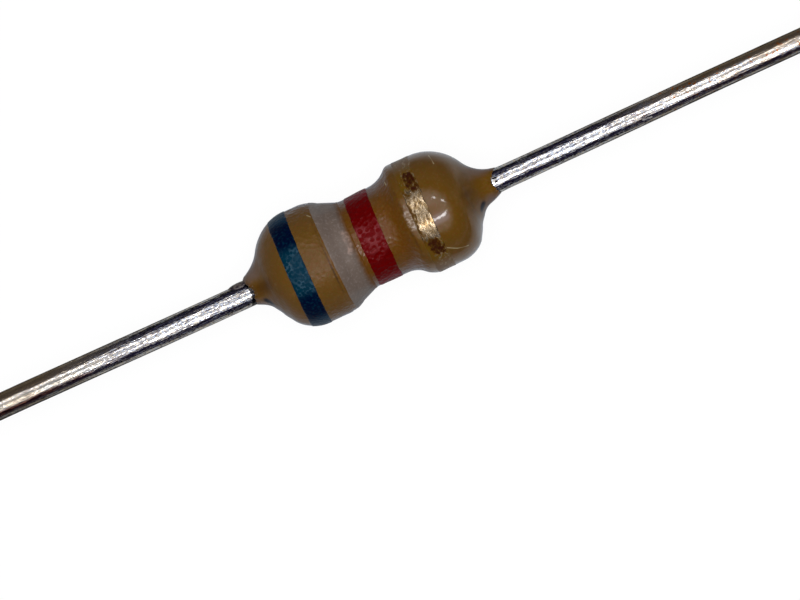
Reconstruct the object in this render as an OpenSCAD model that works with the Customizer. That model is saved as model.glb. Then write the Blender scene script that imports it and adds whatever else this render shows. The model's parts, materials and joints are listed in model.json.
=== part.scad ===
// Miniature axial carbon film resistor, in millimetres.
// The leads run along X, the origin is the middle of the body, and the first colour band is on the -X side.

/* [Leads] */
// Diameter of the tinned wire
lead_d = 0.4; // [0.36:0.01:0.5]
// Distance between the two wire tips, as cut from a 26 mm tape
lead_span = 26; // [12:0.5:60]
// Chamfer that the cutter leaves on each wire tip
tip_chamfer = 0.04; // [0.02:0.01:0.08]
// Diameter of the foot that the butt weld spreads on the cap
weld_d = 0.62; // [0.56:0.01:0.8]
// Height of the weld foot along the wire
weld_h = 0.14; // [0.1:0.01:0.2]

/* [Ceramic core] */
// Diameter of the ceramic rod
core_d = 1.1; // [0.9:0.01:1.2]
// Length of the ceramic rod
core_len = 2.7; // [2.6:0.05:4]
// Chamfer on both ends of the rod
core_chamfer = 0.06; // [0.03:0.01:0.1]

/* [Carbon film] */
// Thickness of the film, drawn thicker than the real few micrometres
film_t = 0.02; // [0.015:0.005:0.04]
// Turns of the groove that trims the film to its value
groove_turns = 5; // [2:1:7]
// Width of the trimming groove
groove_w = 0.07; // [0.04:0.01:0.1]
// Uncut film between each end of the groove and the nearest cap
groove_margin = 0.1; // [0.06:0.01:0.2]

/* [End caps] */
// Thickness of the pressed cap's side wall
cap_wall = 0.18; // [0.12:0.01:0.22]
// Thickness of the cap's end face
cap_floor = 0.15; // [0.1:0.01:0.2]
// Overall length of a cap
cap_len = 0.83; // [0.7:0.01:0.9]
// Radius on the cap's outer edge
cap_edge_r = 0.14; // [0.06:0.01:0.18]
// Lead-in chamfer inside the cap's mouth
mouth_chamfer = 0.04; // [0.02:0.01:0.06]

/* [Coating] */
// Thickness of the lacquer over the caps
coat_cap_t = 0.175; // [0.15:0.005:0.25]
// Thickness of the lacquer over the film, at the neck
coat_neck_t = 0.155; // [0.12:0.005:0.2]
// Thickness of the lacquer's edge where it ends on the wire
coat_lip_t = 0.025; // [0.02:0.005:0.05]
// Angle at which the lacquer meets the wire
contact_angle = 12; // [6:1:20]
// Distance from the cap's end face back to where the shoulder starts to fall
shoulder_inset = 0.4; // [0.36:0.01:0.44]
// Radius of the shoulder
shoulder_r = 0.68; // [0.6:0.01:0.75]
// Radius of the hollow between the shoulder and the wire
meniscus_r = 0.54; // [0.48:0.01:0.62]
// Distance from the cap's mouth back to where the coating starts to fall to the neck
waist_inset = 0.12; // [0.08:0.01:0.18]
// Radius of the edge at the start of the waist
waist_edge_r = 0.36; // [0.25:0.01:0.42]
// Radius of the hollow that runs into the neck
waist_hollow_r = 0.54; // [0.4:0.01:0.6]

/* [Colour bands] */
// Thickness of the paint
paint_t = 0.015; // [0.01:0.001:0.03]
// Width of the first band, blue
blue_w = 0.32; // [0.2:0.01:0.36]
// Distance from the cap's end face back to the middle of the blue band
blue_inset = 0.26; // [0.22:0.01:0.3]
// Width of the second band, grey
grey_w = 0.4; // [0.2:0.01:0.42]
// Distance from the cap's mouth to the middle of the grey band
grey_offset = 0.16; // [0.12:0.01:0.2]
// Width of the third band, red, in the middle of the body
red_w = 0.4; // [0.2:0.01:0.42]
// Width of the fourth band, gold
gold_w = 0.3; // [0.2:0.01:0.34]
// Distance from the cap's end face back to the middle of the gold band
gold_inset = 0.62; // [0.58:0.01:0.68]

/* [Hidden] */

$fn = 96;
// Straight steps in which an arc of the outline is drawn
arc_steps = 9;
// Flat sides of the film in one turn
film_sides = 36;

ceramic_colour = [0.93, 0.92, 0.88];
film_colour = [0.16, 0.16, 0.17];
cap_colour = [0.7, 0.7, 0.69];
wire_colour = [0.8, 0.8, 0.78];
coat_colour = [0.38, 0.26, 0.14];
blue_colour = [0.03, 0.16, 0.25];
grey_colour = [0.42, 0.37, 0.34];
red_colour = [0.38, 0.03, 0.04];
gold_colour = [0.66, 0.5, 0.26];

// Places along the axis, on the +X side
core_end = core_len / 2;
cap_face = core_end + cap_floor;
cap_mouth = cap_face - cap_len;
film_end = core_end - core_chamfer;
lead_tip = lead_span / 2;

// Radii about the axis
lead_r = lead_d / 2;
core_r = core_d / 2;
film_r = core_r + film_t;
cap_r = film_r + cap_wall;
bulge_r = cap_r + coat_cap_t;
neck_r = film_r + coat_neck_t;
lip_r = lead_r + coat_lip_t;

// Arcs and section outlines, as [distance from the axis, place along the axis]

// Points of an arc, from one angle to another
function arc(centre, r, from, to) = [
    for (i = [0 : arc_steps])
        let (a = from + (to - from) * i / arc_steps)
            centre + r * [cos(a), sin(a)]
];

// A round edge that runs smoothly into a hollow: falls from radius high to radius low.
// It starts level at place x and runs towards +X for dir = 1, or towards -X for dir = -1.
// The hollow ends at an angle of rest to the axis.
function s_curve(x, high, low, edge_r, hollow_r, rest, dir) =
    let (
        turn = acos((edge_r + hollow_r * cos(rest) - (high - low)) / (edge_r + hollow_r)),
        hollow_x = x + dir * (edge_r + hollow_r) * sin(turn)
    )
    concat(
        arc([high - edge_r, x], edge_r, 0, dir * turn),
        arc([low + hollow_r * cos(rest), hollow_x], hollow_r, 180 + dir * turn, 180 + dir * rest)
    );

// Outer line of the coating from the middle of the body to its +X end, raised by a paint layer
function half_outline(raise) =
    let (
        waist_x = cap_mouth + waist_inset,
        shoulder_x = cap_face - shoulder_inset,
        waist = s_curve(waist_x, bulge_r, neck_r, waist_edge_r, waist_hollow_r, 0, -1),
        shoulder = s_curve(shoulder_x, bulge_r, lip_r, shoulder_r, meniscus_r, contact_angle, 1)
    )
    [
        for (i = [len(waist) - 1 : -1 : 0]) [waist[i].x + raise, waist[i].y],
        for (p = shoulder) [p.x + raise, p.y]
    ];

function flipped(points) = [
    for (i = [len(points) - 1 : -1 : 0]) [points[i].x, -points[i].y]
];

module coating_section(raise = 0) {
    half = half_outline(raise);
    end = half[len(half) - 1].y;
    polygon(concat([[0, -end]], flipped(half), half, [[0, end]]));
}

// The wire with its weld foot, on the +X side
module lead_section() {
    foot_rise = (weld_d - lead_d) / 2;
    // One arc of this radius joins the foot's rim to the wire's side
    foot_r = (foot_rise * foot_rise + weld_h * weld_h) / (2 * foot_rise);
    sweep = asin(weld_h / foot_r);
    polygon(concat(
        [[0, cap_face]],
        arc([lead_r + foot_r, cap_face + weld_h], foot_r, 180 + sweep, 180),
        [[lead_r, lead_tip - tip_chamfer], [lead_r - tip_chamfer, lead_tip], [0, lead_tip]]
    ));
}

// The cap on the +X side, with its mouth chamfer but without its bore
module cap_blank_section() {
    polygon(concat(
        [[0, cap_mouth + mouth_chamfer], [film_r, cap_mouth + mouth_chamfer]],
        [[film_r + mouth_chamfer, cap_mouth], [cap_r, cap_mouth]],
        arc([cap_r - cap_edge_r, cap_face - cap_edge_r], cap_edge_r, 0, 90),
        [[0, cap_face]]
    ));
}

// The space that the coated pieces fill
module filled_section() {
    translate([0, -core_end]) square([film_r, core_len]);
    for (side = [0, 1]) mirror([0, side]) {
        cap_blank_section();
        lead_section();
    }
}

// Turns a section about the X axis
module turned() {
    rotate([0, 90, 0]) rotate_extrude() children();
}

module mirrored() {
    mirror([1, 0, 0]) children();
}

// Pieces

module ceramic_core() {
    color(ceramic_colour) turned() polygon([
        [0, -core_end], [core_r - core_chamfer, -core_end], [core_r, -film_end],
        [core_r, film_end], [core_r - core_chamfer, core_end], [0, core_end]
    ]);
}

module end_cap_right() {
    color(cap_colour) turned() difference() {
        cap_blank_section();
        square([film_r, core_end]);
    }
}

module end_cap_left() {
    mirrored() end_cap_right();
}

module lead_right() {
    color(wire_colour) turned() lead_section();
}

module lead_left() {
    mirrored() lead_right();
}

module coating() {
    color(coat_colour) turned() difference() {
        coating_section();
        filled_section();
    }
}

// A ring of paint on the coating, centred at place x
module band(x, width) {
    turned() intersection() {
        difference() {
            coating_section(paint_t);
            coating_section();
        }
        translate([0, x - width / 2]) square([bulge_r + 2 * paint_t, width]);
    }
}

module band_1_blue() {
    color(blue_colour) band(blue_inset - cap_face, blue_w);
}

module band_2_grey() {
    color(grey_colour) band(grey_offset - cap_mouth, grey_w);
}

module band_3_red() {
    color(red_colour) band(0, red_w);
}

module band_4_gold() {
    color(gold_colour) band(cap_face - gold_inset, gold_w);
}

// The film is a tube of flat sides with a helical groove cut right through it.
// Four lines of points carry it: its two end rings, and the low and high edges of the groove.
module carbon_film() {
    sides = film_sides;
    last = groove_turns * sides;
    groove_end = cap_mouth - groove_margin - groove_w / 2;
    // The flats touch the core from outside, and the corners reach the film's radius
    inner_r = core_r / cos(180 / sides);

    function groove_line(i) = groove_end * (2 * i / last - 1);
    function ring(x, r) = [for (i = [0 : sides - 1]) place(i, x, r)];
    function place(i, x, r) = [r * cos(360 * i / sides), r * sin(360 * i / sides), x];
    function skin(r) = concat(
        ring(-film_end, r),
        [for (i = [0 : last]) place(i, groove_line(i) - groove_w / 2, r)],
        [for (i = [0 : last]) place(i, groove_line(i) + groove_w / 2, r)],
        ring(film_end, r)
    );

    // Numbers of the outer points; the inner ones follow them, further on by the count of the outer ones
    function start_ring(i) = i % sides;
    function low_edge(i) = sides + i;
    function high_edge(i) = sides + last + 1 + i;
    function end_ring(i) = sides + 2 * (last + 1) + i % sides;
    inner = 2 * sides + 2 * (last + 1);

    outer_faces = concat(
        [for (i = [0 : sides - 2]) [start_ring(i), low_edge(i), low_edge(i + 1), start_ring(i + 1)]],
        // The side in which the groove starts
        [[
            start_ring(sides - 1), low_edge(sides - 1), low_edge(sides),
            high_edge(0), low_edge(0), start_ring(0)
        ]],
        [
            for (i = [sides : 1 : last - 1])
                [high_edge(i - sides), low_edge(i), low_edge(i + 1), high_edge(i - sides + 1)]
        ],
        // The side in which the groove ends
        [[
            high_edge(last - sides + 1), high_edge(last - sides), low_edge(last),
            high_edge(last), end_ring(0), end_ring(1)
        ]],
        [
            for (i = [1 : sides - 1])
                [
                    high_edge(last - sides + i), end_ring(i),
                    end_ring(i + 1), high_edge(last - sides + i + 1)
                ]
        ]
    );
    inner_faces = [
        for (face = outer_faces)
            [face[0] + inner, for (k = [len(face) - 1 : -1 : 1]) face[k] + inner]
    ];
    edge_faces = concat(
        [
            for (i = [0 : sides - 1])
                [start_ring(i), start_ring(i + 1), start_ring(i + 1) + inner, start_ring(i) + inner]
        ],
        [
            for (i = [0 : sides - 1])
                [end_ring(i), end_ring(i) + inner, end_ring(i + 1) + inner, end_ring(i + 1)]
        ],
        [
            for (i = [0 : last - 1])
                [low_edge(i), low_edge(i) + inner, low_edge(i + 1) + inner, low_edge(i + 1)]
        ],
        [
            for (i = [0 : last - 1])
                [high_edge(i), high_edge(i + 1), high_edge(i + 1) + inner, high_edge(i) + inner]
        ],
        [[low_edge(0), high_edge(0), high_edge(0) + inner, low_edge(0) + inner]],
        [[low_edge(last), low_edge(last) + inner, high_edge(last) + inner, high_edge(last)]]
    );

    color(film_colour) rotate([0, 90, 0]) polyhedron(
        points = concat(skin(film_r), skin(inner_r)),
        faces = concat(outer_faces, inner_faces, edge_faces),
        convexity = 10
    );
}

ceramic_core();
carbon_film();
end_cap_left();
end_cap_right();
lead_left();
lead_right();
coating();
band_1_blue();
band_2_grey();
band_3_red();
band_4_gold();
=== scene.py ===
"""A miniature axial film resistor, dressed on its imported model: lacquered body, colour bands and tinned wires.

Lengths here are in millimetres, with X along the wires and the body's middle at the origin, and become metres
where a mesh is made. An angle round the axis is 0 on the +Y side and 90 degrees on top, on the +Z side.
"""

import json
import math
from collections import namedtuple

import bmesh
import bpy
from mathutils import Matrix, Vector, noise


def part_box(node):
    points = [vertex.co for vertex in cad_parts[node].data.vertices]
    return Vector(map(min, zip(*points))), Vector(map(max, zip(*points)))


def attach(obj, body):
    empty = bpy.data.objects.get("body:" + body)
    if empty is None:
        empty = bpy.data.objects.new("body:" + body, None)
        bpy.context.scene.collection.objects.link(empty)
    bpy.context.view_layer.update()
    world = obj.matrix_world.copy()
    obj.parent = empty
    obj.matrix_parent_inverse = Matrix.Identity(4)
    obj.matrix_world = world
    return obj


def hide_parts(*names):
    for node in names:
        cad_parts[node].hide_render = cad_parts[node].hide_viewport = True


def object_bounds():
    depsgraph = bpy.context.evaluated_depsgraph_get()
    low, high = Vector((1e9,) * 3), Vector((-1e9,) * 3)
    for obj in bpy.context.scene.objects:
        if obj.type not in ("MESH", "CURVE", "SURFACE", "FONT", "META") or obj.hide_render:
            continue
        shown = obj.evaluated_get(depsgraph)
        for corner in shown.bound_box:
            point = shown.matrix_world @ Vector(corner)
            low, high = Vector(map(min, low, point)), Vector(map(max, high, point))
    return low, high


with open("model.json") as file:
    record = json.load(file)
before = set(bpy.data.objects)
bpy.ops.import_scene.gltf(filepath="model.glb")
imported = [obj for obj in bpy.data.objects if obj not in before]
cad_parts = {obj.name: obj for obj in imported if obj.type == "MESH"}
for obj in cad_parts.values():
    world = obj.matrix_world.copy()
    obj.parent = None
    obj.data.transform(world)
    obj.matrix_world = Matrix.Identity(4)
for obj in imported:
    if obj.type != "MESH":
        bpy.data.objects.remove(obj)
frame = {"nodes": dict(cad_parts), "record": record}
cad_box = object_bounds()

MM = 0.001

# Photograph: 800 x 600 pixels, seen from straight above
IMAGE_W = 800
IMAGE_H = 600
PIXELS_PER_MM = 64.6
BODY_PIXEL = (371.9, 237.6)
AXIS_RISE = math.radians(24.6)
# The gold end lies a little nearer to the camera than the blue end
AXIS_TILT = math.radians(2.4)
CAMERA_DISTANCE = 60.0

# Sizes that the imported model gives


def reach(node):
    """(lowest corner, highest corner) of a node, in millimetres."""
    low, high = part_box(node)
    return low / MM, high / MM


WIRE_R = frame["record"]["mounts"][0]["dims"]["r_mm"]
WIRE_TIP = reach("lead_right")[1].x
WELD_R = reach("lead_right")[1].z
CAP_MOUTH = reach("end_cap_right")[0].x
CAP_FACE = reach("end_cap_right")[1].x
CAP_R = reach("end_cap_right")[1].z
FILM_R = reach("carbon_film")[1].z
FLOOR_Z = cad_box[0].z / MM

# Sizes of the hidden corners, as in the model
WELD_HEIGHT = 0.14
CAP_EDGE_R = 0.14
TIP_CHAMFER = 0.04

# Outline of the lacquer: one set of arcs for each quarter of the photographed silhouette.
# From the middle outwards it is level at neck, hollow and edge lift it to bulge at waist_x,
# and from shoulder_x shoulder and meniscus let it fall to lip.
Quarter = namedtuple(
    "Quarter", "neck hollow edge waist_x bulge shoulder_x shoulder meniscus lip"
)
LEFT_TOP = Quarter(0.718, 0.67, 0.53, 0.86, 0.932, 1.08, 0.78, 0.75, 0.20)
LEFT_BOTTOM = Quarter(0.722, 0.64, 0.53, 0.81, 0.921, 1.13, 0.64, 0.46, 0.20)
RIGHT_TOP = Quarter(0.732, 0.49, 0.13, 0.68, 0.922, 1.02, 0.81, 0.58, 0.20)
RIGHT_BOTTOM = Quarter(0.720, 0.38, 0.37, 0.80, 0.922, 1.15, 0.51, 0.54, 0.21)
# Small swellings and hollows of the outline: (place, 1 for its upper side or -1 for its lower, height, half width)
SWELLINGS = (
    (1.97, -1, 0.024, 0.11),
    (1.72, -1, 0.016, 0.05),
    (1.59, -1, -0.022, 0.05),
    (-1.66, -1, -0.02, 0.05),
    (-1.78, -1, 0.016, 0.04),
    (-1.72, 1, -0.012, 0.2),
)
# Where the lacquer ends on the wires: on their upper side in the photograph, on their lower side,
# and how far it is pulled back between them
LEFT_END = (2.10, 2.06, 0.06)
RIGHT_END = (2.17, 2.12, 0.09)
# The lacquer's edge on the wire is rounded over this length
LIP = 0.07
# The right wire is a little thinner outside the body, and both bend slightly to the upper side
RIGHT_WIRE_SHARE = 0.94
WIRE_BEND = 0.017

AROUND = 192
ALONG = 240


# Outline of the body


def smooth(low, high, value):
    """0 below low, 1 above high, and an even ramp without corners between them."""
    t = min(max((value - low) / (high - low), 0.0), 1.0)
    return t * t * (3 - 2 * t)


def fall(x, start, high, low, edge, hollow):
    """Radius at x on a round edge that starts level at start and runs on in a hollow down to low."""
    turn = math.acos(1 - (high - low) / (edge + hollow))
    middle = start + edge * math.sin(turn)
    end = start + (edge + hollow) * math.sin(turn)
    if x <= start:
        return high
    if x <= middle:
        return high - edge + math.sqrt(edge**2 - (x - start) ** 2)
    if x <= end:
        return low + hollow - math.sqrt(hollow**2 - (end - x) ** 2)
    return low


def quarter_radius(quarter, x):
    """Radius of one quarter of the silhouette, x outwards from the middle."""
    if x < 0.5 * (quarter.waist_x + quarter.shoulder_x):
        return fall(-x, -quarter.waist_x, quarter.bulge, quarter.neck, quarter.edge, quarter.hollow)
    return fall(x, quarter.shoulder_x, quarter.bulge, quarter.lip, quarter.shoulder, quarter.meniscus)


def side_radius(left, right, x):
    """Radius of the top or the bottom of the silhouette; its two quarters meet gently in the middle."""
    to_right = smooth(-0.15, 0.15, x)
    return (1 - to_right) * quarter_radius(left, abs(x)) + to_right * quarter_radius(right, abs(x))


def unevenness(x, angle, scale, seed):
    """A smooth random value from -1 to 1 on the body's surface."""
    return noise.noise(Vector((x * scale, math.cos(angle) * scale, math.sin(angle) * scale + seed)))


def rim_dent(x, angle):
    """Depth of the fine crease where the lacquer bridges each cap's rim."""
    left = math.exp(-(((x + 0.718) / 0.011) ** 2)) * smooth(-0.75, 0.0, -math.cos(angle))
    right = math.exp(-(((x - 0.635) / 0.011) ** 2)) * smooth(-0.4, 0.3, -math.cos(angle))
    return 0.006 * left + 0.004 * right


def swelling(x, angle):
    """Height of the small swellings at a place on the body."""
    total = 0.0
    for place, side, height, half_width in SWELLINGS:
        total += height * math.exp(-(((x - place) / half_width) ** 2)) * smooth(0.0, 0.8, side * math.cos(angle))
    return total


def body_radius(x, angle):
    to_top = 0.5 + 0.5 * math.cos(angle)
    top = side_radius(LEFT_TOP, RIGHT_TOP, x)
    bottom = side_radius(LEFT_BOTTOM, RIGHT_BOTTOM, x)
    lumps = 0.006 * unevenness(x, angle, 1.6, 3.0) + 0.0025 * unevenness(x, angle, 5.0, 11.0)
    fade = smooth(2.1, 1.7, abs(x))
    return to_top * top + (1 - to_top) * bottom + lumps * fade + swelling(x, angle) - rim_dent(x, angle)


# Meshes


def on_axis(x, radius, angle):
    return Vector((x, radius * math.cos(angle), radius * math.sin(angle))) * MM


def angles(count=AROUND):
    return [2 * math.pi * i / count for i in range(count)]


def object_of(name, mesh):
    made = bpy.data.objects.new(name, mesh)
    bpy.context.scene.collection.objects.link(made)
    return made


def turned_mesh(name, rings, closed):
    """A smooth mesh of quads through rings of points. closed joins the last ring to the first, else the ends are capped."""
    count = len(rings[0])
    points = [p for ring in rings for p in ring]
    last = len(rings) if closed else len(rings) - 1
    faces = []
    for i in range(last):
        here = i * count
        there = (i + 1) % len(rings) * count
        for k in range(count):
            after = (k + 1) % count
            faces.append((here + k, there + k, there + after, here + after))
    if not closed:
        faces.append(tuple(range(count)))
        faces.append(tuple(range(len(points) - 1, len(points) - count - 1, -1)))
    mesh = bpy.data.meshes.new(name)
    mesh.from_pydata(points, [], faces)
    tidy = bmesh.new()
    tidy.from_mesh(mesh)
    bmesh.ops.recalc_face_normals(tidy, faces=tidy.faces)
    tidy.to_mesh(mesh)
    tidy.free()
    mesh.shade_smooth()
    return object_of(name, mesh)


def place_piece(piece, material, node=None):
    """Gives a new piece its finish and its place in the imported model."""
    piece.data.materials.clear()
    piece.data.materials.append(material)
    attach(piece, "root")
    if node:
        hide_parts(node)


def weld_foot(side):
    """(x, radius) along the arc from the wire's side down to the weld foot's rim."""
    rise = WELD_R - WIRE_R
    arc_r = (rise**2 + WELD_HEIGHT**2) / (2 * rise)
    sweep = math.asin(WELD_HEIGHT / arc_r)
    steps = 6
    points = []
    for i in range(steps + 1):
        a = sweep * i / steps
        x = CAP_FACE + WELD_HEIGHT - arc_r * math.sin(a)
        points.append((side * x, WIRE_R + arc_r * (1 - math.cos(a))))
    return points


def cavity(side):
    """(x, radius) of the lacquer's inner wall from the wire to the middle of the body."""
    steps = 5
    edge = []
    for i in range(steps + 1):
        a = 0.5 * math.pi * i / steps
        x = CAP_FACE - CAP_EDGE_R + CAP_EDGE_R * math.cos(a)
        edge.append((side * x, CAP_R - CAP_EDGE_R + CAP_EDGE_R * math.sin(a)))
    mouth = [(side * CAP_MOUTH, CAP_R), (side * CAP_MOUTH, FILM_R), (side * 0.02, FILM_R)]
    return weld_foot(side) + edge + mouth


def lacquer_end(side, angle):
    """Where the lacquer's edge lies on the wire: a ragged line, pulled back a little on top."""
    upper, lower, pulled_back = LEFT_END if side < 0 else RIGHT_END
    end = lower + (upper - lower) * (0.5 + 0.5 * math.cos(angle))
    end -= pulled_back * max(math.sin(angle), 0.0) ** 2
    wander = 0.025 * unevenness(end, angle, 1.4, 21.0) + 0.02 * unevenness(end, angle, 5.0, 27.0)
    return side * (end + wander)


def make_lacquer():
    """The dipped coat: a hollow shell that ends in a thin edge on each wire."""
    edge_r = WIRE_R - 0.002
    rings = []
    for i in range(ALONG + 1):
        # Denser towards both ends
        u = 0.5 - 0.5 * math.cos(math.pi * i / ALONG)
        ring = []
        for a in angles():
            left, right = lacquer_end(-1, a), lacquer_end(1, a)
            x = (1 - u) * left + u * right
            from_end = min(min(x - left, right - x) / LIP, 1.0)
            rise = math.sqrt(1 - (1 - from_end) ** 2)
            ring.append(on_axis(x, edge_r + (body_radius(x, a) - edge_r) * rise, a))
        rings.append(ring)
    for side in (1, -1):
        inner = cavity(side)
        rim = [on_axis(lacquer_end(side, a) + side * 0.004, edge_r, a) for a in angles()]
        wall = [[on_axis(x, max(r, edge_r), a) for a in angles()] for x, r in inner]
        rings += [rim] + wall if side > 0 else wall[::-1] + [rim]
    return turned_mesh("lacquer", rings, closed=True)


def make_band(name, node, lift, ragged, skew, seed, moved=(0.0, 0.0)):
    """A ring of paint on the lacquer with wavy edges.

    It leans by skew at the photograph's upper side, and moved shifts its two edges.
    """
    low, high = reach(node)
    edge = 0.01
    steps = 18
    rings = [[] for _ in range(steps + 3)]
    for a in angles():
        lean = skew * math.cos(a)
        start, end = (
            x + lean + ragged * (unevenness(x, a, 4.0, seed) + 0.7 * unevenness(x, a, 14.0, seed + 5))
            for x in (low.x + moved[0], high.x + moved[1])
        )
        for i in range(steps + 1):
            x = start + (end - start) * i / steps
            rise = smooth(start - 0.001, start + edge, x) * smooth(end + 0.001, end - edge, x)
            rings[i].append(on_axis(x, body_radius(x, a) - 0.002 + (lift + 0.002) * rise, a))
        for i, x in ((steps + 1, end), (steps + 2, start)):
            rings[i].append(on_axis(x, body_radius(x, a) - 0.006, a))
    return turned_mesh(name, rings, closed=True)


def wire_radius(x):
    """Radius of the wire at x, where its tin is a little thinner outside the right end."""
    at_body = (1 - RIGHT_WIRE_SHARE) * smooth(2.0, 2.3, x)
    return WIRE_R * (1 - at_body - 0.03 * smooth(3.5, 6.5, x))


def make_wire(name, side):
    """A drawn and tinned wire with its weld foot, slightly uneven along its length."""
    nick = Vector((4.64, -0.09, 0.178))
    sections = [(x, r, 0.0) for x, r in weld_foot(1)[::-1]]
    free_start = sections[-1][0]
    pitch = 0.05
    count = int((WIRE_TIP - TIP_CHAMFER - free_start) / pitch)
    for i in range(1, count + 1):
        x = free_start + (WIRE_TIP - TIP_CHAMFER - free_start) * i / count
        sections.append((x, WIRE_R, 1.0))
    sections.append((WIRE_TIP - 0.01, WIRE_R - 0.026, 0.0))
    sections.append((WIRE_TIP, WIRE_R - TIP_CHAMFER, 0.0))
    rings = []
    for x, radius, wobble in sections:
        ring = []
        for a in angles(72):
            r = radius + wobble * 0.0022 * unevenness(side * x, a, 1.1, 40.0)
            r += wobble * 0.0012 * unevenness(side * x, a, 6.0, 47.0)
            r *= wire_radius(side * x) / WIRE_R
            at = Vector((x, r * math.cos(a), r * math.sin(a)))
            if side > 0:
                r -= 0.012 * math.exp(-(((at - nick).length / 0.045) ** 2))
            bend = Vector((0, WIRE_BEND * MM * smooth(2.5, 6.2, x), 0))
            ring.append(on_axis(side * x, r, a) + bend)
        rings.append(ring)
    return turned_mesh(name, rings, closed=False)


def make_spatter():
    """The small grey lump that stuck to the top of the left wire beside the lacquer."""
    rings = []
    steps = 14
    start, end = -2.36, -2.02
    around = 20
    for i in range(steps + 1):
        t = i / steps
        x = start + (end - start) * t
        height = 0.036 * math.sin(math.pi * min(max(t, 0.02), 0.98)) ** 0.6
        ring = []
        for k in range(around):
            b = 2 * math.pi * k / around
            grain = 1 + 0.25 * unevenness(x, b, 6.0, 60.0)
            a = 0.28 + 0.55 * math.cos(b) * math.sin(math.pi * min(max(t, 0.02), 0.98)) ** 0.5
            r = WIRE_R - 0.006 + (0.006 + height * grain) * max(math.sin(b), 0.0) - 0.004 * max(-math.sin(b), 0.0)
            ring.append(on_axis(x, r, a))
        rings.append(ring)
    return turned_mesh("wire_spatter", rings, closed=False)


# Node helpers


def add(tree, kind, inputs=None, **settings):
    """A shader node with its settings, and its inputs set or linked."""
    made = tree.nodes.new(kind)
    for key, value in settings.items():
        setattr(made, key, value)
    for key, value in (inputs or {}).items():
        if isinstance(value, bpy.types.NodeSocket):
            tree.links.new(value, made.inputs[key])
        else:
            made.inputs[key].default_value = value
    return made


def math_of(tree, operation, *values):
    return add(tree, "ShaderNodeMath", dict(enumerate(values)), operation=operation).outputs[0]


def ramp(tree, value, low, high, out_low=0.0, out_high=1.0):
    """value from low to high, as out_low to out_high, smooth at both ends."""
    inputs = {"Value": value, "From Min": low, "From Max": high, "To Min": out_low, "To Max": out_high}
    return add(tree, "ShaderNodeMapRange", inputs, interpolation_type="SMOOTHSTEP").outputs["Result"]


def mixed(tree, factor, a, b):
    """Colour a where factor is 0, and b where it is 1."""
    made = add(tree, "ShaderNodeMix", data_type="RGBA")
    for index, value in ((0, factor), (6, a), (7, b)):
        if isinstance(value, bpy.types.NodeSocket):
            tree.links.new(value, made.inputs[index])
        else:
            made.inputs[index].default_value = value
    return made.outputs[2]


def colour(red, green, blue):
    """An sRGB colour of 0 to 255 as the linear one that shaders take."""
    return tuple(linear(c / 255) for c in (red, green, blue)) + (1.0,)


def linear(value):
    return value / 12.92 if value <= 0.04045 else ((value + 0.055) / 1.055) ** 2.4


def place_mm(tree, stretch=(1, 1, 1)):
    """The point on the part in millimetres, stretched along its axes."""
    point = add(tree, "ShaderNodeTexCoord").outputs["Object"]
    scale = tuple(s / MM for s in stretch)
    return add(tree, "ShaderNodeVectorMath", {0: point, 1: scale}, operation="MULTIPLY").outputs[0]


def noise_of(tree, point, scale, detail=2.0, roughness=0.5):
    inputs = {"Vector": point, "Scale": scale, "Detail": detail, "Roughness": roughness}
    return add(tree, "ShaderNodeTexNoise", inputs).outputs["Fac"]


def cells_of(tree, point, scale, feature="F1"):
    inputs = {"Vector": point, "Scale": scale}
    return add(tree, "ShaderNodeTexVoronoi", inputs, feature=feature).outputs["Distance"]


def stroke(tree, point, start, end, width):
    """1 on a line from start to end, fading out at width from it."""
    along = Vector(end) - Vector(start)
    offset = add(tree, "ShaderNodeVectorMath", {0: point, 1: start}, operation="SUBTRACT").outputs[0]
    inputs = {0: offset, 1: tuple(along / along.length_squared)}
    dot = add(tree, "ShaderNodeVectorMath", inputs, operation="DOT_PRODUCT").outputs["Value"]
    share = add(tree, "ShaderNodeClamp", {"Value": dot}).outputs[0]
    inputs = {0: tuple(along), "Scale": share}
    foot = add(tree, "ShaderNodeVectorMath", inputs, operation="SCALE").outputs[0]
    gap = add(tree, "ShaderNodeVectorMath", {0: offset, 1: foot}, operation="DISTANCE").outputs["Value"]
    return ramp(tree, gap, width, 0.3 * width)


def bump(tree, height, depth, normal=None):
    """Shading relief of a height of 0 to 1 that stands depth millimetres deep."""
    inputs = {"Height": height, "Distance": depth * MM, "Strength": 1.0}
    if normal:
        inputs["Normal"] = normal
    return add(tree, "ShaderNodeBump", inputs).outputs["Normal"]


def new_material(name):
    """(material, tree, output node) with an empty tree."""
    material = bpy.data.materials.new(name)
    material.use_nodes = True
    tree = material.node_tree
    tree.nodes.clear()
    return material, tree, add(tree, "ShaderNodeOutputMaterial")


def finish_surface(tree, output, base, roughness, normal, **fixed):
    """The principled shader, with the values that are the same all over set on its own sockets."""
    inputs = {"Base Color": base, "Roughness": roughness, "Normal": normal}
    shader = add(tree, "ShaderNodeBsdfPrincipled", inputs)
    for key, value in fixed.items():
        socket = shader.inputs[key.replace("_", " ")]
        if isinstance(value, bpy.types.NodeSocket):
            tree.links.new(value, socket)
        else:
            socket.default_value = value
    tree.links.new(shader.outputs[0], output.inputs["Surface"])
    return shader


# Materials

# Pale haze that every coat shows where it is seen at a low angle
HAZE_TINT = (0.62, 0.78, 1.0, 1.0)
SHINE_TINT = (0.5, 0.62, 1.0, 1.0)
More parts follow.
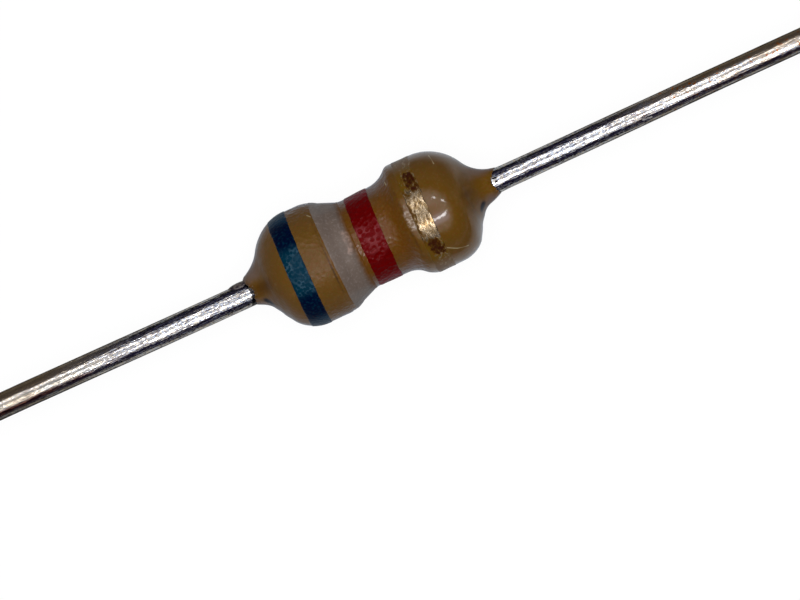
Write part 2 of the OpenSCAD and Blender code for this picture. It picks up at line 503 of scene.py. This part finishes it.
# Lacquer as it dried over the neck, over the left cap and over the right cap
NECK_BROWN = colour(95, 56, 0)
LEFT_BROWN = colour(96, 66, 18)
RIGHT_BROWN = colour(97, 65, 6)
PALE_BROWN = colour(112, 86, 52)
RUDDY = colour(112, 58, 24)
OLIVE = colour(80, 72, 8)
# Darker brown of a painted shade along the axis on each cone
SHADE_BROWN = colour(78, 48, 0)
# Pale colour of a painted sheen on the lacquer's cones and neck and on the gold band's flanks
PAINTED_SHEEN = colour(112, 98, 96)
DARK_GOLD = colour(50, 10, 0)
GOLD = colour(146, 122, 88)
PALE_GOLD = colour(190, 170, 142)
TIN_WARM = colour(253, 244, 228)
TIN_COOL = colour(226, 236, 252)
TIN_PIT = colour(34, 32, 88)
TIN_LINE = colour(112, 84, 66)
DULLER_TIN = colour(166, 165, 160)
PALE_TIN = colour(190, 188, 184)
# Brown of the wires' upper side in the photograph, red of their lower side, and pale patches on their top
UPPER_SIDE_BROWN = colour(140, 118, 88)
LOWER_SIDE_RED = colour(150, 70, 44)
PALE_TARNISH = colour(196, 180, 160)
RUST = colour(190, 110, 40)
# Black of the pits and of the dark crease lines, and of the painted shadow where the lacquer ends on the wires
PIT_AND_SHADOW = colour(16, 10, 14)
SCRATCH = colour(190, 178, 140)
# Colour of a painted highlight near the grey band's right edge
GREY_EDGE_HIGHLIGHT = colour(186, 158, 146)
# Colour of a painted highlight: the pale patch below the lamps' glints on the right cap
CAP_HIGHLIGHT = colour(184, 166, 170)
# Colour of painted glints on the lacquer left of the gold band
PAINTED_GLINT = colour(196, 178, 160)


def on_skin(x, across):
    """The point on the upper skin of the body that lies across millimetres beside the axis."""
    angle = math.acos(min(max(across / body_radius(x, 0.5 * math.pi), -1.0), 1.0))
    for _ in range(4):
        angle = math.acos(min(max(across / body_radius(x, angle), -1.0), 1.0))
    radius = body_radius(x, angle)
    return (x, radius * math.cos(angle), radius * math.sin(angle))


def x_of(tree, point):
    return add(tree, "ShaderNodeSeparateXYZ", {0: point}).outputs["X"]


def dimples(tree, point, scale):
    """Rounded cells, level in their middles and steep at their borders."""
    gap = cells_of(tree, point, scale)
    return math_of(tree, "MULTIPLY", gap, gap)


def flecked(tree, point, base, other, scale, amount):
    """base with fine flecks of another colour, up to amount strong."""
    grain = noise_of(tree, point, scale, 3.0, 0.65)
    return mixed(tree, ramp(tree, grain, 0.5, 0.68, 0.0, amount), base, other)


def orange_peel(tree, point, cells, depth, grainy=1.0):
    """The skin of a dipped coat: cells of a height of 0 to 1, a slow swell and a fine grain."""
    skin = bump(tree, cells, depth)
    swell = math_of(tree, "MULTIPLY", noise_of(tree, point, 3.0, 1.0), grainy)
    grain = math_of(tree, "MULTIPLY", noise_of(tree, point, 36.0, 3.0, 0.6), grainy)
    return bump(tree, grain, 0.0016, bump(tree, swell, 0.012, skin))


def glazed(tree, output, base, normal, roughness, gloss, shine=0.28, haze=0.3):
    """A coloured layer under a thin clear gloss, which may vary over the surface."""
    fixed = {
        "Specular_IOR_Level": shine,
        "Specular_Tint": SHINE_TINT,
        "Coat_Weight": gloss,
        "Coat_Roughness": 0.03,
        "Coat_Normal": normal,
        "Sheen_Weight": haze,
        "Sheen_Roughness": 0.3,
        "Sheen_Tint": HAZE_TINT,
    }
    finish_surface(tree, output, base, roughness, normal, **fixed)


def marks(tree, point, strokes):
    """1 on each of the strokes on the skin, 0 elsewhere."""
    total = 0.0
    for start, end, width in strokes:
        line = stroke(tree, point, on_skin(*start), on_skin(*end), width)
        total = math_of(tree, "MAXIMUM", total, line)
    return total


# Strokes on the skin: from (along, across) to (along, across), and their half width
PITS = (
    ((1.755, -0.295), (1.785, -0.262), 0.1),
    ((-1.87, -0.215), (-1.83, -0.275), 0.09),
    ((-1.72, 0.66), (-1.70, 0.68), 0.036),
    ((-1.16, 0.925), (-1.05, 0.93), 0.036),
    ((-1.30, -0.895), (-1.22, -0.90), 0.036),
    ((-0.47, -0.80), (-0.45, -0.81), 0.036),
)
SCRATCHES = (
    ((0.98, -0.60), (1.16, -0.70), 0.014),
    ((1.16, -0.70), (1.33, -0.73), 0.014),
    ((1.34, 0.79), (1.37, 0.64), 0.014),
    ((-0.75, 0.73), (-0.71, 0.69), 0.014),
    ((0.555, 0.70), (0.56, 0.65), 0.014),
)
# A painted highlight on the right cap, below the lamps' glints
CAP_HIGHLIGHTS = (
    ((1.02, -0.175), (1.2, -0.165), 0.11),
)
# Painted glints on the lacquer left of the gold band
PAINTED_GLINTS = (
    ((0.685, 0.09), (0.685, -0.12), 0.09),
)
# A painted highlight near the grey band's right edge, where the neck's hollow begins
GREY_EDGE_HIGHLIGHTS = (
    ((-0.345, 0.22), (-0.345, 0.06), 0.085),
    ((-0.345, 0.06), (-0.37, -0.06), 0.07),
)


def crease(tree, point, x, width, strength):
    """The dark line where the lacquer bridges a cap's rim, stronger in some places than in others."""
    place = add(tree, "ShaderNodeSeparateXYZ", {0: point})
    off = math_of(tree, "ABSOLUTE", math_of(tree, "SUBTRACT", place.outputs["X"], x))
    patchy = ramp(tree, noise_of(tree, point, 2.5, 3.0, 0.7), 0.4, 0.6, 0.25 * strength, strength)
    patchy = math_of(tree, "MULTIPLY", patchy, ramp(tree, math_of(tree, "ABSOLUTE", place.outputs["Y"]), 0.66, 0.46))
    return math_of(tree, "MULTIPLY", ramp(tree, off, width, 0.3 * width), patchy)


def lacquer_brown(tree, point, place):
    """Brown lacquer: warmer over the neck, with a painted shade along the axis on each cone, a painted sheen as a pale
    cloud on the cones and the neck's sides, and finely flecked.
    """
    x = place.outputs["X"]
    side = mixed(tree, ramp(tree, x, -0.72, -0.6), LEFT_BROWN, NECK_BROWN)
    base = mixed(tree, ramp(tree, x, 0.5, 0.72), side, RIGHT_BROWN)
    base = flecked(tree, point, base, PALE_BROWN, 2.2, 0.25)
    base = flecked(tree, point, base, PALE_BROWN, 22.0, 0.3)
    base = flecked(tree, place_mm(tree, (1.0, 1.0, -1.0)), base, RUDDY, 30.0, 0.45)
    base = flecked(tree, place_mm(tree, (1.0, -1.0, 1.0)), base, OLIVE, 30.0, 0.45)
    beside = math_of(tree, "ABSOLUTE", place.outputs["Y"])
    outwards = math_of(tree, "ABSOLUTE", x)
    # Painted shade: darker in a narrow strip along the axis on each cone, near the wires
    right = math_of(tree, "MULTIPLY", between(tree, x, 1.54, 1.74, 0.07), ramp(tree, beside, 0.09, 0.01, 0.0, 0.5))
    left = math_of(tree, "MULTIPLY", between(tree, x, -1.97, -1.7, 0.07), ramp(tree, beside, 0.16, 0.02, 0.0, 0.85))
    thin = math_of(tree, "MAXIMUM", left, right)
    base = mixed(tree, thin, base, SHADE_BROWN)
    # Painted sheen: a pale cloud beside the top of each cone and on the sides of the neck
    wobble = math_of(tree, "MULTIPLY_ADD", noise_of(tree, point, 5.0, 2.0), 0.16, beside)
    cone = math_of(tree, "MULTIPLY", ramp(tree, outwards, 1.65, 1.95), ramp(tree, wobble, 0.18, 0.34, 0.0, 0.5))
    neck = math_of(tree, "MULTIPLY", ramp(tree, outwards, 0.55, 0.4), ramp(tree, wobble, 0.6, 0.8, 0.0, 0.55))
    return mixed(tree, math_of(tree, "MAXIMUM", cone, neck), base, PAINTED_SHEEN)


def lacquer_material():
    material, tree, output = new_material("brown_lacquer")
    point = place_mm(tree)
    place = add(tree, "ShaderNodeSeparateXYZ", {0: point})
    x = place.outputs["X"]
    pits = marks(tree, point, PITS)
    scratches = marks(tree, point, SCRATCHES)
    dark = math_of(tree, "MAXIMUM", crease(tree, point, -0.722, 0.02, 0.5), crease(tree, point, 0.63, 0.03, 0.35))
    base = mixed(tree, math_of(tree, "MAXIMUM", pits, dark), lacquer_brown(tree, point, place), PIT_AND_SHADOW)
    base = mixed(tree, math_of(tree, "MULTIPLY", scratches, 0.5), base, SCRATCH)
    # Painted highlight: a pale patch on the right cap below the lamps' glints
    base = mixed(tree, math_of(tree, "MULTIPLY", marks(tree, point, CAP_HIGHLIGHTS), 0.18), base, CAP_HIGHLIGHT)
    # Painted glints: pale streaks on the lacquer left of the gold band
    streaky = ramp(tree, noise_of(tree, place_mm(tree, (0.45, 1.0, 1.0)), 34.0, 2.0), 0.42, 0.64, 0.08, 0.55)
    base = mixed(tree, math_of(tree, "MULTIPLY", marks(tree, point, PAINTED_GLINTS), streaky), base, PAINTED_GLINT)
    # The right cap is glossy and smooth, the neck and the left cap are rougher
    to_right = ramp(tree, x, 0.55, 0.75)
    cells = math_of(tree, "MULTIPLY", dimples(tree, point, 16.0), ramp(tree, to_right, 0.0, 1.0, 0.6, 0.08))
    cells = math_of(tree, "MULTIPLY", cells, ramp(tree, math_of(tree, "ABSOLUTE", x), 1.1, 1.4, 1.0, 0.3))
    gloss = math_of(tree, "ADD", ramp(tree, x, -0.75, -0.6, 0.03, 0.24), ramp(tree, to_right, 0.0, 1.0, 0.0, 0.72))
    gloss = math_of(tree, "MULTIPLY", gloss, ramp(tree, math_of(tree, "ABSOLUTE", x), 1.9, 1.6))
    gloss = math_of(tree, "MULTIPLY", gloss, math_of(tree, "SUBTRACT", 1.0, pits))
    roughness = ramp(tree, to_right, 0.0, 1.0, 0.42, 0.36)
    grainy = ramp(tree, to_right, 0.0, 1.0, 1.0, 0.25)
    glazed(tree, output, base, orange_peel(tree, point, cells, 0.012, grainy), roughness, gloss, haze=0.38)
    return material


def thinned(tree, point, edge, width, base):
    """Paint that lets the lacquer through towards the band's right edge."""
    ragged = math_of(tree, "MULTIPLY_ADD", noise_of(tree, point, 14.0, 2.0), 0.06, x_of(tree, point))
    return mixed(tree, ramp(tree, ragged, edge + 0.03 - width, edge + 0.04), base, NECK_BROWN)


# A thin coat of paint. Its pale colour shows in flecks, and over the top within top_y of the axis as a painted
# highlight;
# the flank colour beyond flank_y is a painted sheen. Cells of the lacquer's skin stand depth deep in it, with rims of
# the rim colour, which are a painted highlight over the top.
Paint = namedtuple("Paint", "main pale worn top_y flank flank_y cells rim depth gloss haze")
BLUE = Paint(
    colour(0, 8, 36), colour(0, 46, 64), 0.85, 0.37, colour(24, 58, 80), 0.79, 20.0, colour(62, 90, 108),
    0.005, 0.1, 0.15
)
GREY = Paint(
    colour(104, 91, 83), colour(128, 115, 108), 0.2, 0.3, colour(116, 110, 106), 0.66, 10.0, colour(116, 110, 106),
    0.006, 0.1, 0.21
)
RED = Paint(
    colour(90, 0, 0), colour(98, 2, 2), 0.6, 0.22, colour(124, 70, 78), 0.66, 13.0, colour(150, 76, 80),
    0.02, 0.1, 0.04
)


def paint_material(name, paint, thin=None):
    """A coat of paint. thin is where its thinned edge ends and how wide that edge is."""
    material, tree, output = new_material(name)
    point = place_mm(tree)
    beside = math_of(tree, "ABSOLUTE", add(tree, "ShaderNodeSeparateXYZ", {0: point}).outputs["Y"])
    # Painted highlight: the pale colour over the top of the band
    highlight_share = ramp(tree, beside, paint.top_y + 0.1, paint.top_y - 0.1, 0.0, paint.worn)
    base = mixed(tree, highlight_share, paint.main, paint.pale)
    # Painted sheen on the band's flanks
    flank_sheen_share = ramp(tree, beside, paint.flank_y - 0.06, paint.flank_y + 0.06, 0.0, 0.55)
    base = mixed(tree, flank_sheen_share, base, paint.flank)
    base = flecked(tree, point, base, paint.pale, 26.0, 0.7)
    cells = dimples(tree, point, paint.cells)
    # Painted highlights on the rims of the cells over the top
    patchy = ramp(tree, noise_of(tree, point, 4.5, 1.0), 0.4, 0.6, 0.2, 0.6)
    rim_highlights = math_of(tree, "MULTIPLY", ramp(tree, cells, 0.24, 0.4), math_of(tree, "MULTIPLY", highlight_share, patchy))
    base = mixed(tree, rim_highlights, base, paint.rim)
    if thin:
        base = thinned(tree, point, *thin, base)
        # Painted highlight: a pale broken streak near the band's right edge
        broken = ramp(tree, noise_of(tree, point, 16.0, 2.0), 0.4, 0.65, 0.1, 0.45)
        base = mixed(tree, math_of(tree, "MULTIPLY", marks(tree, point, GREY_EDGE_HIGHLIGHTS), broken), base, GREY_EDGE_HIGHLIGHT)
    skin = orange_peel(tree, point, cells, paint.depth)
    glazed(tree, output, base, skin, 0.42, paint.gloss, shine=0.04, haze=paint.haze)
    return material


# Places on the gold band with fewer flakes and a painted dark reflection, as strokes on the skin
DARK_REFLECTION_MARKS = (
    ((0.915, 0.63), (0.945, 0.47), 0.16),
    ((0.87, -0.49), (0.92, -0.60), 0.17),
)


def gold_material():
    """Metal flakes in brown paint: thick on top, with two places of fewer flakes and a painted dark reflection, and
    sparse on the sides and the left edge.
    """
    material, tree, output = new_material("gold_paint")
    point = place_mm(tree)
    place = add(tree, "ShaderNodeSeparateXYZ", {0: point})
    left = reach("band_4_gold")[0].x
    patches = noise_of(tree, place_mm(tree, (1.0, 0.6, 0.6)), 22.0, 2.0)
    covered = ramp(tree, place.outputs["X"], left - 0.02, left + 0.14, 0.42, 0.62)
    beside = ramp(tree, math_of(tree, "ABSOLUTE", place.outputs["Y"]), 0.32, 0.5, 0.0, 0.17)
    dark_reflection = math_of(tree, "MULTIPLY", marks(tree, point, DARK_REFLECTION_MARKS), 0.3)
    covered = math_of(tree, "SUBTRACT", covered, math_of(tree, "MAXIMUM", beside, dark_reflection))
    paint = flecked(tree, point, RIGHT_BROWN, OLIVE, 26.0, 0.8)
    paint = mixed(tree, ramp(tree, beside, 0.05, 0.17, 0.5, 0.0), paint, DARK_GOLD)
    # Painted sheen: paler towards the band's flanks
    sides = ramp(tree, math_of(tree, "ABSOLUTE", place.outputs["Y"]), 0.68, 0.86, 0.0, 0.4)
    paint = mixed(tree, sides, paint, PAINTED_SHEEN)
    # Painted dark reflection: dark patches, mostly at the two marked places
    dark = math_of(tree, "MULTIPLY_ADD", patches, 0.6, math_of(tree, "SUBTRACT", dark_reflection, 0.42))
    paint = mixed(tree, ramp(tree, dark, 0.0, 0.22), paint, DARK_GOLD)
    paint = flecked(tree, place_mm(tree, (-1.0, 1.0, 1.0)), paint, OLIVE, 30.0, 0.2)
    flakes = ramp(tree, math_of(tree, "SUBTRACT", covered, patches), -0.1, 0.12, 0.03, 0.95)
    flakes = math_of(tree, "MULTIPLY", flakes, ramp(tree, beside, 0.05, 0.17, 1.0, 0.5))
    tone = noise_of(tree, place_mm(tree, (1.0, 0.4, 0.4)), 28.0, 2.0)
    gold = mixed(tree, ramp(tree, tone, 0.4, 0.62), GOLD, PALE_GOLD)
    base = mixed(tree, flakes, paint, gold)
    fixed = {
        "Metallic": flakes,
        "Specular_IOR_Level": 0.08,
        "Sheen_Weight": 0.15,
        "Sheen_Roughness": 0.3,
        "Sheen_Tint": HAZE_TINT,
    }
    finish_surface(tree, output, base, 0.27, bump(tree, tone, 0.0018), **fixed)
    return material


def tin_colour(tree, point, place, far):
    """(colour, metal share) of the tin: frosted near the body, brown on its sides towards the tips."""
    across = place.outputs["Y"]
    frost = noise_of(tree, place_mm(tree, (0.4, 1.0, 1.0)), 46.0, 1.0)
    lines = noise_of(tree, place_mm(tree, (0.06, 1.0, 1.0)), 42.0, 1.0)
    frosted = math_of(tree, "MULTIPLY", ramp(tree, frost, 0.5, 0.62), ramp(tree, far, 0.0, 1.0, 0.62, 0.2))
    tint = noise_of(tree, place_mm(tree, (0.5, 1.0, -1.0)), 50.0, 1.0)
    base = mixed(tree, ramp(tree, tint, 0.38, 0.62), TIN_WARM, TIN_COOL)
    base = mixed(tree, ramp(tree, lines, 0.54, 0.62, 0.0, 0.55), base, TIN_LINE)
    base = mixed(tree, frosted, base, TIN_PIT)
    # The left wire is duller towards its tip
    dulled = ramp(tree, place.outputs["X"], -4.1, -5.4, 0.0, 0.9)
    dulled = math_of(tree, "MULTIPLY", dulled, ramp(tree, math_of(tree, "ABSOLUTE", across), 0.03, 0.06, 1.0, 0.4))
    base = mixed(tree, dulled, base, DULLER_TIN)
    # Towards the tips: a thin pale stain on top, dull brown on the upper side and reddish patches on the lower side
    stain = ramp(tree, noise_of(tree, place_mm(tree, (0.3, 1.0, 1.0)), 9.0, 3.0, 0.6), 0.42, 0.62, 0.1, 0.75)
    base = mixed(tree, math_of(tree, "MULTIPLY", stain, far), base, PALE_TARNISH)
    dull = math_of(tree, "MULTIPLY", ramp(tree, across, 0.06, 0.12), far)
    base = mixed(tree, math_of(tree, "MULTIPLY", dull, 0.9), base, UPPER_SIDE_BROWN)
    patchy = ramp(tree, noise_of(tree, place_mm(tree, (0.3, 1.0, 1.0)), 14.0, 2.0), 0.35, 0.6, 0.25, 0.9)
    red = math_of(tree, "MULTIPLY", between(tree, across, -0.12, -0.06, 0.025), far)
    red = math_of(tree, "MULTIPLY", red, ramp(tree, place.outputs["X"], 0.0, 4.0, 1.0, 0.45))
    base = mixed(tree, math_of(tree, "MULTIPLY", red, patchy), base, LOWER_SIDE_RED)
    on_right = ramp(tree, place.outputs["X"], 4.0, 5.4)
    specks = ramp(tree, noise_of(tree, point, 16.0, 2.0), 0.62, 0.68)
    base = mixed(tree, math_of(tree, "MULTIPLY", specks, on_right), base, RUST)
    return base, ramp(tree, dull, 0.0, 1.0, 1.0, 0.82)


def tin_material():
    """Bright tin with drawing lines, a pale nick on the right wire and a dark line at the lacquer's edge."""
    material, tree, output = new_material("tinned_wire")
    point = place_mm(tree)
    place = add(tree, "ShaderNodeSeparateXYZ", {0: point})
    outwards = math_of(tree, "ABSOLUTE", place.outputs["X"])
    far = ramp(tree, outwards, 3.4, 5.8)
    base, metallic = tin_colour(tree, point, place, far)
    nick = stroke(tree, point, (4.59, -0.1, 0.17), (4.72, -0.115, 0.16), 0.035)
    base = mixed(tree, nick, base, PALE_TIN)
    metallic = math_of(tree, "MULTIPLY", metallic, ramp(tree, nick, 0.0, 1.0, 1.0, 0.2))
    # The lacquer's edge curves round the wire, so its shadow does too
    curve = math_of(tree, "MULTIPLY", math_of(tree, "MULTIPLY", place.outputs["Y"], place.outputs["Y"]), 2.0)
    shadow = ramp(tree, math_of(tree, "SUBTRACT", outwards, curve), 2.07, 2.045, 0.0, 0.95)
    spots = math_of(
        tree,
        "MAXIMUM",
        stroke(tree, point, (2.09, 0.052, 0.19), (2.14, 0.047, 0.19), 0.026),
        stroke(tree, point, (2.12, -0.008, 0.197), (2.135, -0.012, 0.197), 0.028),
    )
    # Painted shadow of the lacquer's edge, with the dark specks beside it
    base = mixed(tree, math_of(tree, "MAXIMUM", shadow, spots), base, PIT_AND_SHADOW)
    skin = bump(tree, noise_of(tree, place_mm(tree, (0.06, 1.0, 1.0)), 42.0, 1.0), 0.0045)
    skin = bump(tree, noise_of(tree, place_mm(tree, (0.4, 1.0, 1.0)), 46.0, 1.0), 0.0028, skin)
    finish_surface(tree, output, base, ramp(tree, far, 0.0, 1.0, 0.06, 0.17), skin, Metallic=metallic)
    return material


def plain_material(name, main, other, scale, roughness, metallic=0.0):
    """A finish with a fine grain."""
    material, tree, output = new_material(name)
    point = place_mm(tree)
    grain = noise_of(tree, point, scale, 3.0)
    base = mixed(tree, ramp(tree, grain, 0.35, 0.65), main, other)
    finish_surface(tree, output, base, roughness, bump(tree, grain, 0.004), Metallic=metallic)
    return material


def dress_inside():
    """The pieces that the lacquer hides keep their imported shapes."""
    ceramic = plain_material("ceramic_rod", colour(232, 229, 220), colour(244, 242, 236), 20.0, 0.6)
    film = plain_material("carbon_film", colour(34, 34, 36), colour(48, 48, 50), 30.0, 0.45)
    steel = plain_material("tinned_steel_cap", colour(176, 175, 171), colour(206, 205, 201), 16.0, 0.3, 1.0)
    finishes = {
        "ceramic_core": ceramic,
        "carbon_film": film,
        "end_cap_left": steel,
        "end_cap_right": steel,
    }
    for node, material in finishes.items():
        frame["nodes"][node].data.materials.clear()
        frame["nodes"][node].data.materials.append(material)


# Stage


def make_floor():
    """White paper: it shows white to the camera and keeps a faint shadow. Only a pool near the part glows in it."""
    reach_m = 0.3
    corners = [(-reach_m, -reach_m), (reach_m, -reach_m), (reach_m, reach_m), (-reach_m, reach_m)]
    mesh = bpy.data.meshes.new("floor")
    mesh.from_pydata([(x, y, FLOOR_Z * MM) for x, y in corners], [], [(0, 1, 2, 3)])
    floor = object_of("floor", mesh)
    material, tree, output = new_material("white_paper")
    path = add(tree, "ShaderNodeLightPath")
    point = place_mm(tree)
    away = add(tree, "ShaderNodeVectorMath", {0: point}, operation="LENGTH").outputs["Value"]
    parts = add(tree, "ShaderNodeSeparateXYZ", {0: point})
    across = parts.outputs["Y"]
    # What shiny surfaces see: a bright pool that reaches further on the -Y side and leaves out the wires' own strip
    pool = math_of(tree, "MULTIPLY", ramp(tree, across, -5.0, -2.5), ramp(tree, across, 4.2, 1.0, 0.006, 0.38))
    along = math_of(tree, "MAXIMUM", math_of(tree, "ABSOLUTE", parts.outputs["X"]), 1.0)
    slope = math_of(tree, "DIVIDE", math_of(tree, "ABSOLUTE", across), along)
    pool = math_of(tree, "MULTIPLY", pool, ramp(tree, slope, 0.12, 0.4))
    bounced = math_of(tree, "MAXIMUM", path.outputs["Is Glossy Ray"], path.outputs["Is Transmission Ray"])
    share = ramp(tree, away, 8.0, 16.0, 0.93, 1.0)
    paper = add(tree, "ShaderNodeBsdfDiffuse", {"Color": (0.9, 0.9, 0.9, 1.0)})
    white = add(tree, "ShaderNodeEmission", {"Color": (1.0, 1.0, 1.0, 1.0), "Strength": 1.02})
    glow = add(tree, "ShaderNodeEmission", {"Color": (1.0, 0.98, 0.93, 1.0), "Strength": pool})
    shown = math_of(tree, "MULTIPLY", share, path.outputs["Is Camera Ray"])
    first = add(tree, "ShaderNodeMixShader", {0: shown, 1: paper.outputs[0], 2: white.outputs[0]})
    both = add(tree, "ShaderNodeMixShader", {0: bounced, 1: first.outputs[0], 2: glow.outputs[0]})
    tree.links.new(both.outputs[0], output.inputs["Surface"])
    floor.data.materials.append(material)


def between(tree, value, low, high, soft):
    """1 between low and high, and 0 beyond them by soft."""
    inside = ramp(tree, value, low - soft, low + soft)
    return math_of(tree, "MULTIPLY", inside, ramp(tree, value, high + soft, high - soft))


# The lamps overhead stand a little to the upper side of the picture
CEILING_LEAN = math.radians(0.8)


def make_world():
    """White behind the part, an even fill, and overhead a ring of small lamps in a dark room for reflections."""
    world = bpy.data.worlds.new("studio")
    bpy.context.scene.world = world
    world.use_nodes = True
    tree = world.node_tree
    tree.nodes.clear()
    output = add(tree, "ShaderNodeOutputWorld")
    path = add(tree, "ShaderNodeLightPath")
    direction = add(tree, "ShaderNodeTexCoord").outputs["Generated"]
    inputs = {"Vector": direction, "Angle": CEILING_LEAN}
    leaning = add(tree, "ShaderNodeVectorRotate", inputs, rotation_type="X_AXIS").outputs[0]
    parts = add(tree, "ShaderNodeSeparateXYZ", {0: leaning})
    across, up = parts.outputs["Y"], parts.outputs["Z"]
    # Where each direction meets a level ceiling, and how far out that is
    height = math_of(tree, "MAXIMUM", up, 0.02)
    plan_x = math_of(tree, "DIVIDE", parts.outputs["X"], height)
    plan_y = math_of(tree, "DIVIDE", across, height)
    plan = add(tree, "ShaderNodeCombineXYZ", {"X": math_of(tree, "MULTIPLY", plan_x, 0.62), "Y": plan_y}).outputs[0]
    out = add(tree, "ShaderNodeVectorMath", {0: plan}, operation="LENGTH").outputs["Value"]
    heading = math_of(tree, "ARCTAN2", plan_y, plan_x)
    spots = math_of(tree, "COSINE", math_of(tree, "MULTIPLY_ADD", heading, 8.0, -2.7 * math.pi))
    spots = math_of(tree, "MULTIPLY", ramp(tree, spots, -0.2, 0.7, 0.0, 12.0), ramp(tree, plan_y, 0.05, 0.15))
    spots = math_of(tree, "MULTIPLY", spots, between(tree, out, 0.43, 0.485, 0.015))
    bar = ramp(tree, plan_y, -0.2, -0.28, 0.0, 14.0)
    bar = math_of(tree, "MULTIPLY", bar, ramp(tree, plan_x, -0.02, 0.03, 0.3, 1.0))
    bar = math_of(tree, "MULTIPLY", bar, between(tree, out, 0.335, 0.455, 0.02))
    ring = math_of(tree, "MAXIMUM", spots, bar)
    wide = add(tree, "ShaderNodeCombineXYZ", {"X": math_of(tree, "MULTIPLY", plan_x, 1.1), "Y": math_of(tree, "ADD", plan_y, 0.1)}).outputs[0]
    far_out = add(tree, "ShaderNodeVectorMath", {0: wide}, operation="LENGTH").outputs["Value"]
    panel = math_of(tree, "MULTIPLY", ramp(tree, far_out, 1.3, 0.6, 0.0, 0.95), ramp(tree, out, 0.1, 0.25, 0.6, 1.0))
    panel = math_of(tree, "MULTIPLY", panel, ramp(tree, plan_y, -0.2, 0.45, 0.9, 1.15))
    upper_strip = math_of(tree, "MULTIPLY", between(tree, up, 0.3, 0.45, 0.06), ramp(tree, across, 0.0, 0.3, 0.0, 0.08))
    lower_strip = math_of(tree, "MULTIPLY", ramp(tree, up, 0.18, 0.04), ramp(tree, across, 0.0, -0.3, 0.0, 0.12))
    ceiling = 0.0
    for part in (ring, panel, upper_strip, lower_strip):
        ceiling = math_of(tree, "ADD", ceiling, part)
    fill = 0.08
    seen = math_of(tree, "MAXIMUM", path.outputs["Is Camera Ray"], path.outputs["Is Transmission Ray"])
    mirrored = add(tree, "ShaderNodeMix", {0: path.outputs["Is Glossy Ray"], 2: fill, 3: ceiling}).outputs[0]
    strength = add(tree, "ShaderNodeMix", {0: seen, 2: mirrored, 3: 1.0}).outputs[0]
    background = add(tree, "ShaderNodeBackground", {"Color": (1.0, 1.0, 1.0, 1.0), "Strength": strength})
    # The dark room is faintly blue
    room_glow = math_of(tree, "MULTIPLY", path.outputs["Is Glossy Ray"], 0.028)
    room = add(tree, "ShaderNodeBackground", {"Color": (0.42, 0.34, 1.0, 1.0), "Strength": room_glow})
    both = add(tree, "ShaderNodeAddShader", {0: background.outputs[0], 1: room.outputs[0]})
    tree.links.new(both.outputs[0], output.inputs["Surface"])


def make_lamp():
    """Soft light from above for the matt part of each surface."""
    data = bpy.data.lights.new("overhead", "SUN")
    data.energy = 2.8
    data.angle = math.radians(50)
    lamp = object_of("overhead", data)
    lamp.visible_glossy = False


def make_camera():
    """A level view from above, turned so that the wires rise to the right."""
    back = Vector((math.sin(AXIS_TILT), 0, math.cos(AXIS_TILT)))
    along = Vector((math.cos(AXIS_TILT), 0, -math.sin(AXIS_TILT)))
    across = Vector((0, 1, 0))
    right = math.cos(AXIS_RISE) * along - math.sin(AXIS_RISE) * across
    up = math.sin(AXIS_RISE) * along + math.cos(AXIS_RISE) * across
    to_right = (IMAGE_W / 2 - BODY_PIXEL[0]) / PIXELS_PER_MM
    to_top = (BODY_PIXEL[1] - IMAGE_H / 2) / PIXELS_PER_MM
    data = bpy.data.cameras.new("camera")
    data.type = "ORTHO"
    data.ortho_scale = IMAGE_W / PIXELS_PER_MM * MM
    data.clip_start = 0.001
    data.clip_end = 1.0
    camera = object_of("camera", data)
    turn = Matrix((right, up, back)).transposed().to_4x4()
    spot = right * to_right + up * to_top + back * CAMERA_DISTANCE
    camera.matrix_world = Matrix.Translation(spot * MM) @ turn
    bpy.context.scene.camera = camera


make_camera()
make_world()
make_lamp()
make_floor()
bpy.context.scene.view_settings.view_transform = "Standard"

tin = tin_material()
place_piece(make_wire("left_wire", -1), tin, "lead_left")
place_piece(make_wire("right_wire", 1), tin, "lead_right")
place_piece(make_lacquer(), lacquer_material(), "coating")

grey_moved = (0.028, 0.07)
grey_edge = reach("band_2_grey")[1].x + grey_moved[1]
blue = paint_material("blue_paint", BLUE)
grey = paint_material("grey_paint", GREY, (grey_edge, 0.12))
red = paint_material("red_paint", RED)
blue_ring = make_band("blue_band", "band_1_blue", 0.008, 0.009, 0.014, 1.0)
grey_ring = make_band("grey_band", "band_2_grey", 0.005, 0.006, -0.012, 2.0, grey_moved)
red_ring = make_band("red_band", "band_3_red", 0.008, 0.009, 0.012, 3.0, (0.025, 0.02))
gold_ring = make_band("gold_band", "band_4_gold", 0.004, 0.012, 0.006, 4.0)
place_piece(blue_ring, blue, "band_1_blue")
place_piece(grey_ring, grey, "band_2_grey")
place_piece(red_ring, red, "band_3_red")
place_piece(gold_ring, gold_material(), "band_4_gold")
residue = plain_material("dark_residue", colour(40, 33, 40), colour(92, 84, 80), 22.0, 0.3)
place_piece(make_spatter(), residue)
dress_inside()
